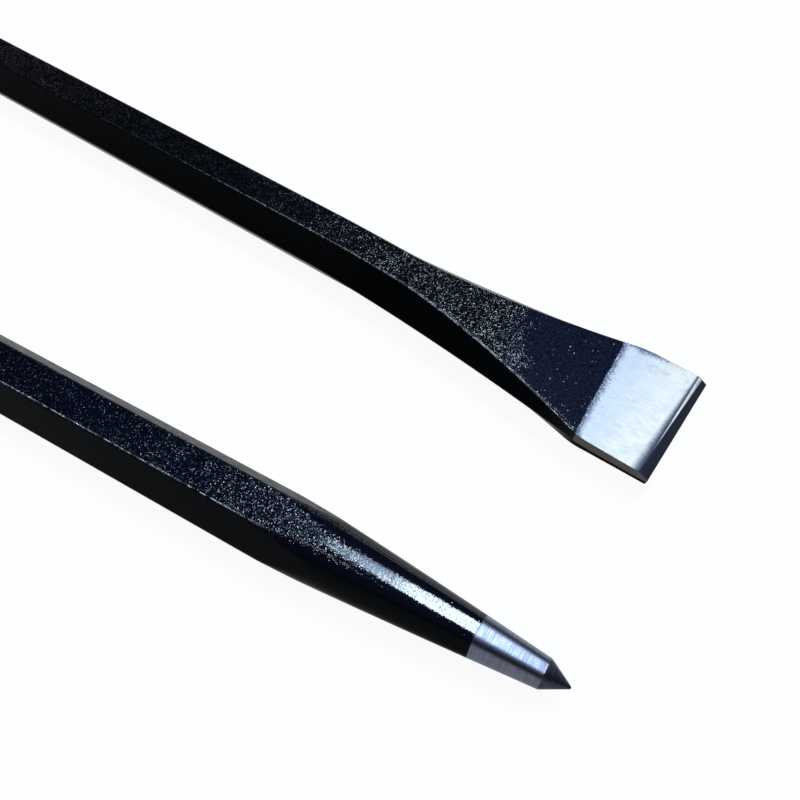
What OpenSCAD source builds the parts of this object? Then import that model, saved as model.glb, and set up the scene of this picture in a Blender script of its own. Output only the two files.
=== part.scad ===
// Two digging bars, laid beside each other and head to tail.
// Each bar is one length of hexagon steel, forged to a wide chisel at one end
// and to a round point at the other. Both ends are ground bright, and the rest is black enamel.

/* [Hexagon bar] */
// Length of a bar, from its chisel edge to its point
bar_length = 1500; // [900:10:1900]
// Size of the hexagon across its flats
across_flats = 25; // [19:0.5:32]
// Radius of the hexagon's rolled corners
corner_radius = 1.5; // [0.5:0.1:3]

/* [Chisel end] */
// Width of the chisel
chisel_width = 51; // [36:0.5:76]
// Length from the cutting edge over which the sides run parallel
parallel_length = 25; // [12:1:45]
// Length over which the sides spread from the hexagon to the chisel
flare_length = 100; // [60:5:160]
// Length over which the hexagon is forged down to the blade
forge_length = 140; // [80:5:220]
// Thickness of the blade where its sides turn parallel
blade_thickness = 6.8; // [6.4:0.2:14]
// Thickness of the blade behind its end bevel
bevel_thickness = 5.8; // [4:0.2:6.4]
// Length of the end bevel on the upper face, along the bar
bevel_length = 3.6; // [2:0.2:6]
// Length of the steep end bevel on the lower face, along the bar
under_bevel_length = 0.6; // [0.4:0.1:1.6]
// Length of the rolled edge between the bevel and the blade's face
roll_length = 1.2; // [0.4:0.1:1.8]
// Thickness of the blunt cutting edge
edge_thickness = 0.8; // [0.4:0.1:2]
// Length by which the ground face runs back past the parallel sides
ground_margin = 7; // [2:1:15]

/* [Point end] */
// Length of the taper, from the hexagon to the tip
taper_length = 115; // [80:5:200]
// Height by which the taper swells out from a straight cone
taper_swell = 0.25; // [0.1:0.05:0.5]
// Length of the ground zone, from the tip
point_ground_length = 33; // [20:1:50]
// Radius of the taper where the ground zone starts
ground_radius = 7.8; // [7:0.1:9]
// Length of the short end cone
nib_length = 9; // [5:0.5:15]
// Radius of the short end cone at its base
nib_radius = 5.5; // [4:0.1:6.5]
// Radius of the blunt tip
tip_radius = 0.4; // [0.2:0.1:1]

/* [Layout] */
// Distance between the bars, from the front bar's tip to the middle of the rear bar's edge
end_spacing = 106; // [90:1:300]
// Length by which the front bar's tip stands ahead of the rear bar's edge
point_lead = 9.5; // [0:0.5:60]
// Angle by which each bar turns towards the other
toe_angle = 2.9; // [0:0.1:5]

/* [Hidden] */
$fn = 64;

// Finishes
enamel = "#15171d";
ground_steel = "#d3d6dc";
tip_steel = "#85868c";

// Hexagon section, with flats at the top and the bottom
sides = 6;
turn = 360 / sides;
half_turn = turn / 2;
hex_corner = across_flats / 2 / cos(half_turn);
corner_centre = hex_corner - corner_radius / cos(half_turn);
corner_reach = corner_radius * tan(half_turn);
corner_tip = corner_centre + corner_radius;

// How fast the flat faces spread, and how fast the thickness and the side ridges are forged
face_power = 1.65;
forge_power = 1.5;

// Rings of the forged end: points on each rounded corner, and steps along each stretch
corner_steps = 3;
roll_steps = 3;
parallel_steps = 4;
margin_steps = 2;
blade_steps = 26;
// Share of the half thickness that a rounded corner may take
reach_share = 0.4;
// Steps of the point's taper
taper_steps = 10;

// Places along a bar, measured from its chisel edge
ground_length = parallel_length + ground_margin;
chisel_length = parallel_length + max(flare_length, forge_length);
taper_start = bar_length - taper_length;
collar_start = bar_length - point_ground_length;
nib_start = bar_length - nib_length;

// Length of the black taper, from the hexagon to the ground zone
black_length = taper_length - point_ground_length;

// Layout: the tips' places that put the pair's middle over the origin
front_tip_x = (bar_length * cos(toe_angle) + point_lead) / 2;
chisel_reach = chisel_width / 2 * cos(toe_angle);
point_reach = corner_tip * cos(toe_angle) - taper_length * sin(toe_angle);
middle_y = (chisel_reach - point_reach) / 2;
front_tip_y = middle_y - end_spacing / 2;
rear_edge_x = front_tip_x - point_lead;
rear_edge_y = middle_y + end_spacing / 2;

function limited(share) = min(1, max(0, share));
function mixed(from, to, share) = from + (to - from) * share;

// Shares of the chisel's form that are left at a place along the bar: 1 at the parallel sides
// and 0 where the hexagon is whole
function spread_share(place) =
    pow(1 - limited((place - parallel_length) / flare_length), face_power);
function forged_share(place) =
    pow(1 - limited((place - parallel_length) / forge_length), forge_power);

// Half the width of the flat face, half the width at the side ridges, and half the thickness
function half_face(place) = mixed(hex_corner / 2, chisel_width / 2, spread_share(place));
function half_ridge(place) = mixed(hex_corner, chisel_width / 2, forged_share(place));
function half_ground(place) =
    mixed(bevel_thickness, blade_thickness,
          (place - bevel_length) / (parallel_length - bevel_length)) / 2;
function half_forged(place) = mixed(across_flats, blade_thickness, forged_share(place)) / 2;
function half_thickness(place) =
    place < parallel_length ? half_ground(place) : half_forged(place);

// A corner rounded off between two neighbours, as a curve that touches both sides
function curve(start, middle, end, share) =
    mixed(mixed(start, middle, share), mixed(middle, end, share), share);
function towards(from, to, reach) = from + (to - from) / norm(to - from) * reach;
function rounded_corner(before, corner, after, reach) = [
    for (step = [0 : corner_steps])
        curve(towards(corner, before, reach), corner, towards(corner, after, reach),
              step / corner_steps)
];

// Six rounded corners round the bar's axis at a place along it, for given heights above and below it
function ring_corners(place, above, below) = [
    [half_ridge(place), 0], [half_face(place), above], [-half_face(place), above],
    [-half_ridge(place), 0], [-half_face(place), -below], [half_face(place), -below]
];
function ring_outline(corners, reach) = [
    for (side = [0 : sides - 1])
        each rounded_corner(corners[(side + sides - 1) % sides], corners[side],
                            corners[(side + 1) % sides], reach)
];
function uneven_ring(place, above, below) = [
    for (point = ring_outline(ring_corners(place, above, below),
                              min(corner_reach, reach_share * above, reach_share * below)))
        [place, point.x, point.y]
];
function ring(place) = uneven_ring(place, half_thickness(place), half_thickness(place));

// The rolled edge: a curve from the bevel to the ground face, as place and height above the axis
bevel_corner = [bevel_length, bevel_thickness / 2];
bevel_foot = [0, edge_thickness / 2];
ground_end = [parallel_length, blade_thickness / 2];
roll_points = [
    for (step = [0 : roll_steps])
        curve(towards(bevel_corner, bevel_foot, roll_length), bevel_corner,
              towards(bevel_corner, ground_end, roll_length), step / roll_steps)
];
roll_end = roll_points[roll_steps];

// Height of the upper bevel over the place where the lower one ends
under_height = mixed(edge_thickness, bevel_thickness, under_bevel_length / bevel_length) / 2;

bit_rings = concat(
    [uneven_ring(0, edge_thickness / 2, edge_thickness / 2)],
    [uneven_ring(under_bevel_length, under_height, half_ground(under_bevel_length))],
    [for (point = roll_points) uneven_ring(point.x, point.y, half_ground(point.x))],
    [for (step = [1 : parallel_steps])
        ring(mixed(roll_end.x, parallel_length, step / parallel_steps))],
    [for (step = [1 : margin_steps])
        ring(mixed(parallel_length, ground_length, step / margin_steps))]
);
blade_rings = [
    for (step = [0 : blade_steps])
        ring(mixed(ground_length, chisel_length, step / blade_steps))
];

// A closed skin over a row of rings, with a fan of faces from the middle of each end
module loft(rings) {
    count = len(rings[0]);
    last = len(rings) - 1;
    ends = [[rings[0][0].x, 0, 0], [rings[last][0].x, 0, 0]];
    points = concat([for (row = rings) each row], ends);
    start_middle = len(points) - 2;
    end_middle = len(points) - 1;
    skin = [
        for (row = [0 : last - 1], place = [0 : count - 1])
            let (
                next = (place + 1) % count,
                low = row * count,
                high = low + count
            )
            each [
                [low + place, high + place, high + next],
                [low + place, high + next, low + next]
            ]
    ];
    start_cap = [for (place = [0 : count - 1]) [start_middle, place, (place + 1) % count]];
    end_cap = [
        for (place = [0 : count - 1])
            [end_middle, last * count + (place + 1) % count, last * count + place]
    ];
    polyhedron(points = points, faces = concat(skin, start_cap, end_cap));
}

// Rolled hexagon: six flats with a rounded corner between each two
module hex_section() {
    corners = [for (side = [0 : sides - 1]) side * turn];
    polygon([
        for (angle = corners, swing = [-half_turn, half_turn])
            corner_centre * [cos(angle), sin(angle)]
            + corner_radius * [cos(angle + swing), sin(angle + swing)]
    ]);
    for (angle = corners)
        rotate(angle) translate([corner_centre, 0]) circle(r = corner_radius);
}

// Turns a shape that stands upright to lie along the bar, from a place on it
module along_bar(place) {
    translate([place, 0, 0]) rotate([90, 0, 90]) children();
}

module shank_form() {
    along_bar(chisel_length) linear_extrude(taper_start - chisel_length) hex_section();
}

// Half of the taper's outline, which swells a little from a straight line
function taper_radius(share) =
    mixed(hex_corner, ground_radius, share) + 4 * taper_swell * share * (1 - share);
module taper_outline() {
    polygon(concat(
        [[0, 0]],
        [for (step = [0 : taper_steps])
            [taper_radius(step / taper_steps), black_length * step / taper_steps]],
        [[0, black_length]]
    ));
}

// The hexagon turned down to a round taper, so that each flat runs out in a curve
module taper_form() {
    along_bar(taper_start) intersection() {
        linear_extrude(black_length) hex_section();
        rotate_extrude() taper_outline();
    }
}

module collar_form() {
    along_bar(collar_start)
        cylinder(h = nib_start - collar_start, r1 = ground_radius, r2 = nib_radius);
}

module nib_form() {
    along_bar(nib_start) cylinder(h = nib_length, r1 = nib_radius, r2 = tip_radius);
}

// The front bar lies with its point at the right, the rear bar with its chisel there
module front_bar() {
    translate([front_tip_x, front_tip_y, across_flats / 2])
        rotate(toe_angle) translate([-bar_length, 0, 0]) children();
}

module rear_bar() {
    translate([rear_edge_x, rear_edge_y, across_flats / 2])
        rotate(2 * 90 - toe_angle) children();
}

module front_shank() { color(enamel) front_bar() shank_form(); }
module front_chisel_blade() { color(enamel) front_bar() loft(blade_rings); }
module front_chisel_bit() { color(ground_steel) front_bar() loft(bit_rings); }
module front_point_taper() { color(enamel) front_bar() taper_form(); }
module front_point_collar() { color(ground_steel) front_bar() collar_form(); }
module front_point_nib() { color(tip_steel) front_bar() nib_form(); }

module rear_shank() { color(enamel) rear_bar() shank_form(); }
module rear_chisel_blade() { color(enamel) rear_bar() loft(blade_rings); }
module rear_chisel_bit() { color(ground_steel) rear_bar() loft(bit_rings); }
module rear_point_taper() { color(enamel) rear_bar() taper_form(); }
module rear_point_collar() { color(ground_steel) rear_bar() collar_form(); }
module rear_point_nib() { color(tip_steel) rear_bar() nib_form(); }

front_shank();
front_chisel_blade();
front_chisel_bit();
front_point_taper();
front_point_collar();
front_point_nib();
rear_shank();
rear_chisel_blade();
rear_chisel_bit();
rear_point_taper();
rear_point_collar();
rear_point_nib();
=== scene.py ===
"""A pair of hexagon digging bars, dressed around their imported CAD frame.

One bar is modelled zone by zone with Blender's own operators, and copied to the front and the rear
bar. The finishes are black enamel with a pebbled skin, bright ground steel and a darker tip.
"""
import logging
import math
from dataclasses import dataclass, field
from enum import Enum
from functools import reduce
from typing import Callable, Dict, List, Optional, Sequence, Tuple, Union

import bmesh
import bpy
from mathutils import Matrix, Vector


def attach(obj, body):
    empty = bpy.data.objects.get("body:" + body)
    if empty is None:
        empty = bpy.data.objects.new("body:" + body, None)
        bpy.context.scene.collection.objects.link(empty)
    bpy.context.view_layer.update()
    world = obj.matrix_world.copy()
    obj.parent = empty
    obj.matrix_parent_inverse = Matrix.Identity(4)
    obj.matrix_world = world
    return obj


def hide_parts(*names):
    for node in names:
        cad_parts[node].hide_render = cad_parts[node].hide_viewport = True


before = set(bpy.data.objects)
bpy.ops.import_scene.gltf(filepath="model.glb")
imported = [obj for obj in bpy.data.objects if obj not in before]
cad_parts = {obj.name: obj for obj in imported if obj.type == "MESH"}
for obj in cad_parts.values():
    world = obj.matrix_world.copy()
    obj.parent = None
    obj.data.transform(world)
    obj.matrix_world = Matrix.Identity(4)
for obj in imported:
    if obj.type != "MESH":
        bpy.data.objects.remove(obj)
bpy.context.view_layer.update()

MM = 0.001
ON_PLANE = 1e-6
SAME_PLACE = 1e-7
SMOOTH_ANGLE = math.radians(35.0)
HALF = 0.5
Place = Tuple[float, float, float]
Colour = Tuple[float, float, float]
Span = Tuple[float, float]
Socket = bpy.types.NodeSocket
Feed = Union[Socket, float, Colour]
Feeds = Dict[Union[str, int], Feed]

log = logging.getLogger("digging_bars")


class Zone(Enum):
    """The zones of a bar, named as the CAD nodes are after the bar's name."""

    SHANK = "shank"
    CHISEL_BLADE = "chisel_blade"
    CHISEL_BIT = "chisel_bit"
    POINT_TAPER = "point_taper"
    POINT_COLLAR = "point_collar"
    POINT_NIB = "point_nib"


class Slot(Enum):
    """The record's material slots."""

    ENAMEL = "black_enamel"
    GROUND = "ground_steel"
    TIP = "tip_steel"


def limited(share: float) -> float:
    """A share kept between 0 and 1."""
    return min(1.0, max(0.0, share))


def mixed(start: float, end: float, share: float) -> float:
    """The value at a share of the way from start to end."""
    return start + (end - start) * share


def left_over(share: float, power: float) -> float:
    """What is left of 1 after a share of the way, by a power."""
    return (1 - limited(share)) ** power


class Bench:
    """A workbench for one mesh in edit mode, shaped by operators on vertices picked by place."""

    def __init__(self, name: str, sides: int, radius: float, start: float, end: float) -> None:
        """Starts with a prism that lies along X.

        Args:
            name: Name of the piece.
            sides: Number of sides of the prism.
            radius: Radius of its corners.
            start: Place along X of its first end.
            end: Place along X of its other end.
        """
        self.clear()
        bpy.ops.mesh.primitive_cylinder_add(
            vertices=sides, radius=radius, depth=end - start, end_fill_type="NGON",
            location=((start + end) / 2, 0, 0), rotation=(0, math.pi / 2, 0))
        self.piece = bpy.context.active_object
        self.piece.name = self.piece.data.name = name
        bpy.ops.object.transform_apply(location=True, rotation=True, scale=True)
        bpy.ops.object.mode_set(mode="EDIT")

    @staticmethod
    def clear() -> None:
        """Leaves nothing selected."""
        bpy.ops.object.select_all(action="DESELECT")

    @staticmethod
    def take(piece: bpy.types.Object) -> None:
        """Leaves only one piece selected, and makes it active.

        Args:
            piece: The object to take in hand.
        """
        Bench.clear()
        piece.select_set(True)
        bpy.context.view_layer.objects.active = piece

    def unpicked(self, mode: str) -> bmesh.types.BMesh:
        """The mesh in a selection mode, with nothing selected.

        Args:
            mode: What is selected next, VERT or EDGE.

        Returns:
            The mesh in edit mode.
        """
        bpy.ops.mesh.select_mode(type=mode)
        bpy.ops.mesh.select_all(action="DESELECT")
        return bmesh.from_edit_mesh(self.piece.data)

    def pick(self, test: Callable[[Vector], bool]) -> None:
        """Selects the vertices that pass a test on their place.

        Args:
            test: Says whether a vertex at this place is selected.
        """
        mesh = self.unpicked("VERT")
        for vertex in mesh.verts:
            vertex.select = test(vertex.co)
        mesh.select_flush_mode()

    def pick_edges(self, test: Callable[[Vector, Vector], bool]) -> None:
        """Selects the edges that pass a test on the places of their two ends.

        Args:
            test: Says whether an edge between these places is selected.
        """
        mesh = self.unpicked("EDGE")
        for edge in mesh.edges:
            edge.select = test(edge.verts[0].co, edge.verts[1].co)
        mesh.select_flush_mode()

    def cut(self, place: float) -> None:
        """Cuts a ring of edges round the prism at a place along X."""
        bpy.ops.mesh.select_all(action="SELECT")
        bpy.ops.mesh.bisect(plane_co=(place, 0, 0), plane_no=(1, 0, 0), threshold=ON_PLANE)

    @staticmethod
    def grind(point: Sequence[float], outward: Sequence[float]) -> None:
        """Takes off all that lies outside a plane and closes the face.

        Args:
            point: A point of the plane.
            outward: Its normal, towards what is taken off.
        """
        bpy.ops.mesh.select_all(action="SELECT")
        bpy.ops.mesh.bisect(plane_co=point, plane_no=outward, threshold=ON_PLANE,
                            use_fill=True, clear_outer=True)

    def resize(self, place: float, across: float, up: float) -> None:
        """Scales the selected ring at a place about the bar's axis, along Y and along Z."""
        bpy.ops.transform.resize(value=(1, across, up), orient_type="GLOBAL",
                                 center_override=(place, 0, 0))

    def bevel(self, offset: float, segments: int) -> None:
        """Rounds the selected edges."""
        bpy.ops.mesh.bevel(offset_type="OFFSET", offset=offset, segments=segments, profile=HALF,
                           affect="EDGES", clamp_overlap=False)

    def weigh(self, share: float) -> None:
        """Gives the selected edges a share of the next weighted rounding."""
        bpy.ops.transform.edge_bevelweight(value=share)

    def bevel_by_weight(self, offset: float, segments: int) -> None:
        """Rounds all edges that have a weight.

        Args:
            offset: How far the rounding reaches at full weight.
            segments: Number of strips in the rounding.
        """
        bpy.ops.object.mode_set(mode="OBJECT")
        rounding = self.piece.modifiers.new("rounding", "BEVEL")
        rounding.limit_method = "WEIGHT"
        rounding.width, rounding.segments = offset, segments
        rounding.use_clamp_overlap = False
        bpy.ops.object.modifier_apply(modifier=rounding.name)
        bpy.ops.object.mode_set(mode="EDIT")

    def finish(self) -> bpy.types.Object:
        """Closes edit mode, points all faces outwards and smooths the shading.

        Returns:
            The piece's object.
        """
        bpy.ops.mesh.select_all(action="SELECT")
        bpy.ops.mesh.remove_doubles(threshold=SAME_PLACE)
        bpy.ops.mesh.normals_make_consistent(inside=False)
        bpy.ops.object.mode_set(mode="OBJECT")
        smooth(self.piece)
        return self.piece


def smooth(piece: bpy.types.Object) -> None:
    """Shades a piece smooth by angle, with each flat keeping its own normal.

    Args:
        piece: The object to shade.
    """
    Bench.take(piece)
    bpy.ops.object.shade_smooth_by_angle(angle=SMOOTH_ANGLE)
    weighted = piece.modifiers.new("flats", "WEIGHTED_NORMAL")
    weighted.keep_sharp = True
    bpy.ops.object.modifier_apply(modifier=weighted.name)


def copied(piece: bpy.types.Object, name: str) -> bpy.types.Object:
    """A copy of a piece with its own mesh.

    Args:
        piece: The object to copy.
        name: Name of the copy.

    Returns:
        The copy, selected and active.
    """
    Bench.take(piece)
    bpy.ops.object.duplicate(linked=False)
    copy = bpy.context.active_object
    copy.name = copy.data.name = name
    return copy


@dataclass
class HexagonStock:
    """The rolled hexagon steel that a bar is made from."""

    length: float = 1500 * MM
    across_flats: float = 25 * MM
    corner_radius: float = 1.5 * MM
    corner_segments: int = 4
    sides: int = 6
    shank_lengths: int = 24

    @property
    def half_side(self) -> float:
        """Half the angle of a side, in radians."""
        return math.pi / self.sides

    @property
    def flat_reach(self) -> float:
        """Distance from the axis to a flat."""
        return self.across_flats / 2

    @property
    def corner(self) -> float:
        """Distance from the axis to a sharp corner."""
        return self.flat_reach / math.cos(self.half_side)

    @property
    def corner_offset(self) -> float:
        """Distance from a sharp corner to where its rounding starts."""
        return self.corner_radius * math.tan(self.half_side)

    def reach(self, angle: float) -> float:
        """Distance from the axis to the rounded hexagon.

        Args:
            angle: Angle from the middle of the nearest flat, up to 30 degrees, in radians.

        Returns:
            The distance in metres.
        """
        half_flat = self.flat_reach * math.tan(self.half_side) - self.corner_offset
        if math.tan(angle) * self.flat_reach <= half_flat:
            return self.flat_reach / math.cos(angle)
        centre = self.corner - self.corner_radius / math.cos(self.half_side)
        away = self.half_side - angle
        return centre * math.cos(away) + math.sqrt(
            self.corner_radius ** 2 - (centre * math.sin(away)) ** 2)

    def build_shank(self, start: float, end: float) -> bpy.types.Object:
        """The plain stretch of the bar: a prism with rolled corners.

        Args:
            start: Place of its chisel end along the bar.
            end: Place of its point end along the bar.

        Returns:
            The shank's object.
        """
        bench = Bench("shank", self.sides, self.corner, start, end)
        bench.pick_edges(lambda a, b: abs(a.x - b.x) > (end - start) / 2)
        bench.bevel(self.corner_offset, self.corner_segments)
        for cut in range(1, self.shank_lengths):
            bench.cut(mixed(start, end, cut / self.shank_lengths))
        return bench.finish()


@dataclass
class ChiselEnd:
    """The forged and ground chisel, with places measured from its edge."""

    stock: HexagonStock
    width: float = 51 * MM
    parallel_lengths: Span = (30 * MM, 26 * MM)
    shoulder_ease: float = 4 * MM
    blade_place: float = 25 * MM
    flare_length: float = 100 * MM
    forge_length: float = 140 * MM
    ground_length: float = 32 * MM
    blade_thickness: float = 6.8 * MM
    bevel_thickness: float = 5.8 * MM
    bevel_length: float = 3.6 * MM
    under_bevel_length: float = 0.6 * MM
    roll_length: float = 1.2 * MM
    under_roll_length: float = 0.3 * MM
    roll_segments: int = 6
    edge_thickness: float = 0.8 * MM
    edge_skew: float = 0.018
    face_power: float = 1.65
    forge_power: float = 1.5
    bit_rings: Tuple[float, ...] = (8 * MM, 13 * MM, 18 * MM, 22 * MM)
    ring_spacing: float = 2 * MM
    crisp_share: float = 0.3
    crisp_fade: float = 20 * MM
    spare: float = 1.5 * MM
    on_ring: float = 0.1 * MM
    on_brow: float = 0.15 * MM
    least_run: float = 0.5 * MM

    @property
    def length(self) -> float:
        """Length from the edge to the whole hexagon."""
        return self.blade_place + self.forge_length

    def parallel_length(self, side: int) -> float:
        """Length of the parallel side at +Y, for a side of 1, or at -Y, for -1."""
        return self.parallel_lengths[0 if side > 0 else 1]

    def past_shoulder(self, place: float, side: int) -> float:
        """Distance past the end of the parallel sides, eased where the flare starts.

        Args:
            place: Place along the bar.
            side: 1 for the side at +Y, -1 for the other.

        Returns:
            The distance in metres, never less than zero.
        """
        past = place - self.parallel_length(side)
        if abs(past) < self.shoulder_ease:
            return (past + self.shoulder_ease) ** 2 / (4 * self.shoulder_ease)
        return max(0.0, past)

    def half_face(self, place: float, side: int) -> float:
        """Half the width of the flat face at a place, on one side."""
        share = left_over(self.past_shoulder(place, side) / self.flare_length, self.face_power)
        return mixed(self.stock.corner / 2, self.width / 2, share)

    def half_ridge(self, place: float, side: int) -> float:
        """Half the width at the side ridge at a place, on one side."""
        share = left_over(self.past_shoulder(place, side)
                          / (self.length - self.parallel_length(side)), self.forge_power)
        return mixed(self.stock.corner, self.width / 2, share)

    def half_thickness(self, place: float) -> float:
        """Half the thickness before the end bevels are ground.

        Args:
            place: Place along the bar.

        Returns:
            The half thickness in metres.
        """
        if place < self.blade_place:
            share = (place - self.bevel_length) / (self.blade_place - self.bevel_length)
            return mixed(self.bevel_thickness, self.blade_thickness, share) / 2
        share = left_over((place - self.blade_place) / self.forge_length, self.forge_power)
        return mixed(self.stock.across_flats, self.blade_thickness, share) / 2

    def shape_ring(self, bench: Bench, place: float) -> None:
        """Forges one ring of the hexagon to the blade's section.

        Args:
            bench: The bench that holds the blank.
            place: Place of the ring.
        """
        near, level = self.on_ring, self.stock.flat_reach / 2
        for side in (1, -1):
            bench.pick(lambda at: abs(at.x - place) < near and abs(at.z) > level and at.y * side > 0)
            bench.resize(place, self.half_face(place, side) / (self.stock.corner / 2),
                         self.half_thickness(place) / self.stock.flat_reach)
            bench.pick(lambda at: abs(at.x - place) < near and abs(at.z) < near and at.y * side > 0)
            bench.resize(place, self.half_ridge(place, side) / self.stock.corner, 1)

    def round_edges(self, bench: Bench, places: Sequence[float]) -> None:
        """Rounds the lengthwise edges, crisp along the ground end and full on the forged part.

        Args:
            bench: The bench that holds the forged blank.
            places: Places of its rings.
        """
        near = self.on_ring
        for start, end in zip(places, places[1:]):
            past_ground = (start + end) / 2 - self.ground_length
            share = mixed(self.crisp_share, 1.0, limited(past_ground / self.crisp_fade))
            bench.pick_edges(lambda a, b: min(a.x, b.x) > start - near
                             and max(a.x, b.x) < end + near and abs(a.x - b.x) > self.least_run)
            bench.weigh(share)
        bench.bevel_by_weight(self.stock.corner_offset, self.stock.corner_segments)

    def grind_end(self, bench: Bench) -> None:
        """Grinds the end a little askew, then the long upper and the steep lower bevel.

        The brow of each bevel is rolled over.

        Args:
            bench: The bench that holds the blade.
        """
        skew, half_edge = self.edge_skew, self.edge_thickness / 2
        bench.grind(Vector((0, 0, 0)), Vector((-1, -skew, 0)).normalized())
        for side, run, roll in ((1, self.bevel_length, self.roll_length),
                                (-1, self.under_bevel_length, self.under_roll_length)):
            brow = self.half_thickness(run)
            rise = brow - half_edge
            bench.grind(Vector((0, 0, side * half_edge)),
                        Vector((-rise, -rise * skew, side * run)).normalized())
            bench.pick_edges(lambda a, b: max(
                abs(at.x + skew * at.y - run) + abs(side * at.z - brow) for at in (a, b)) < self.on_brow)
            bench.bevel(roll, self.roll_segments)

    def build(self) -> Dict[Zone, bpy.types.Object]:
        """Forges the blank, rounds its edges, grinds its end and parts the bit off.

        Returns:
            The bit and the blade.
        """
        bench = Bench("chisel", self.stock.sides, self.stock.corner, -self.spare, self.length)
        flare = self.length - self.blade_place
        count = round(flare / self.ring_spacing)
        places = [-self.spare, *self.bit_rings]
        places += [self.blade_place + flare * step / count for step in range(count + 1)]
        for place in places[1:-1]:
            bench.cut(place)
        for place in places:
            self.shape_ring(bench, place)
        self.round_edges(bench, places)
        self.grind_end(bench)
        whole = bench.finish()
        parts = {}
        for zone, side in ((Zone.CHISEL_BIT, 1), (Zone.CHISEL_BLADE, -1)):
            parts[zone] = copied(whole, zone.value)
            bpy.ops.object.mode_set(mode="EDIT")
            Bench.grind((self.ground_length, 0, 0), (side, 0, 0))
            bpy.ops.object.mode_set(mode="OBJECT")
            smooth(parts[zone])
        bpy.data.objects.remove(whole)
        return parts


@dataclass
class PointEnd:
    """The drawn-down and ground point, with places measured from the chisel's edge."""

    stock: HexagonStock
    taper_length: float = 115 * MM
    taper_swell: float = 0.25 * MM
    ground_length: float = 33 * MM
    ground_radius: float = 7.8 * MM
    nib_length: float = 9 * MM
    nib_radius: float = 5.5 * MM
    tip_radius: float = 0.4 * MM
    tip_round: float = 0.2 * MM
    tip_segments: int = 3
    flat_depth: float = 0.056
    nib_flat_depth: float = 0.024
    cross_ease: float = 0.3 * MM
    ease_rate: float = 8.0
    sides: int = 120
    close_rings: int = 30
    wide_step: int = 4
    cone_steps: int = 8
    on_ring: float = 0.02 * MM

    @property
    def start(self) -> float:
        """Place where the hexagon starts to taper."""
        return self.stock.length - self.taper_length

    @property
    def collar_start(self) -> float:
        """Place where the ground zone starts."""
        return self.stock.length - self.ground_length

    @property
    def nib_start(self) -> float:
        """Place where the short end cone starts."""
        return self.stock.length - self.nib_length

    def flattened(self, radius: float, angle: float, depth: float) -> float:
        """Reach of a round section with six faint flats, at an angle from a flat's middle."""
        return radius * (1 - depth * (1 + math.cos(self.stock.sides * angle)) / 2)

    def taper_reach(self, angle: float, share: float) -> float:
        """Distance from the axis to the taper's skin.

        Args:
            angle: Angle from the middle of the nearest flat, in radians.
            share: Share of the taper's black length.

        Returns:
            The lesser of the hexagon's and the cone's reach, eased where they cross.
        """
        straight = mixed(self.stock.corner, self.ground_radius, share)
        radius = straight + 4 * self.taper_swell * share * (1 - share)
        flat = self.stock.reach(angle)
        cone = self.flattened(radius, angle, self.flat_depth * share)
        ease = self.cross_ease * limited(share * self.ease_rate)
        if ease == 0:
            return min(flat, cone)
        blend = limited(HALF + (cone - flat) / (2 * ease))
        return mixed(cone, flat, blend) - ease * blend * (1 - blend)

    def collar_reach(self, angle: float, share: float) -> float:
        """Distance from the axis to the collar's skin, as for the taper."""
        radius = mixed(self.ground_radius, self.nib_radius, share)
        return self.flattened(radius, angle, self.flat_depth)

    def nib_reach(self, angle: float, share: float) -> float:
        """Distance from the axis to the nib's skin, as for the taper."""
        depth = mixed(self.flat_depth, self.nib_flat_depth, limited(share * self.ease_rate))
        return self.flattened(mixed(self.nib_radius, self.tip_radius, share), angle, depth)

    def draw_down(self, name: str, start: float, end: float, shares: Sequence[float],
                  reach: Callable[[float, float], float]) -> Bench:
        """Draws a round blank down, ring by ring.

        Args:
            name: Name of the piece.
            start: Place of its first end.
            end: Place of its other end.
            shares: Places of the rings as shares of its length, from 0 to 1.
            reach: Distance from the axis to the skin, by angle from a flat's middle and by share.

        Returns:
            The bench, still in edit mode.
        """
        bench = Bench(name, self.sides, self.stock.corner, start, end)
        for share in shares[1:-1]:
            bench.cut(mixed(start, end, share))
        step, sector = math.tau / self.sides, math.tau / self.stock.sides
        for share in shares:
            place = mixed(start, end, share)
            for turn in range(self.sides // self.stock.sides // 2 + 1):
                angle = turn * step

                def on_group(at: Vector) -> bool:
                    """True for a vertex of this ring at this angle from a flat's middle."""
                    away = (math.atan2(at.y, at.z) + sector / 2) % sector - sector / 2
                    return abs(at.x - place) < self.on_ring and abs(abs(away) - angle) < step / 4

                bench.pick(on_group)
                factor = reach(angle, share) / self.stock.corner
                bench.resize(place, factor, factor)
        return bench

    def build(self) -> Dict[Zone, bpy.types.Object]:
        """Makes the point's three pieces.

        Returns:
            The taper, the collar and the nib.
        """
        black = round((self.collar_start - self.start) / MM)
        rings = [*range(self.close_rings), *range(self.close_rings, black, self.wide_step), black]
        taper = self.draw_down("taper", self.start, self.collar_start,
                               [ring / black for ring in rings], self.taper_reach).finish()
        steps = [step / self.cone_steps for step in range(self.cone_steps + 1)]
        collar = self.draw_down("collar", self.collar_start, self.nib_start, steps,
                                self.collar_reach).finish()
        end = self.stock.length
        nib = self.draw_down("nib", self.nib_start, end, steps, self.nib_reach)
        nib.pick_edges(lambda a, b: min(a.x, b.x) > end - self.on_ring)
        nib.bevel(self.tip_round, self.tip_segments)
        return {Zone.POINT_TAPER: taper, Zone.POINT_COLLAR: collar, Zone.POINT_NIB: nib.finish()}


@dataclass(frozen=True)
class BarPlace:
    """Where one bar lies: its name, the middle of its chisel edge and the way it runs."""

    name: str
    origin: Place
    heading: float
    length: float
    pattern_shift: float
    # 1 or -1 for the side towards the camera, which gets the worn ridge line with its painted highlight,
    # and a rougher rim.
    rubbed_and_highlight_side: float

    @property
    def body(self) -> str:
        """The CAD body that the bar's pieces ride on."""
        return f"{self.name}_bar"

    @property
    def matrix(self) -> Matrix:
        """The bar's place as a matrix."""
        return Matrix.Translation(self.origin) @ Matrix.Rotation(self.heading, 4, "Z")


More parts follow.
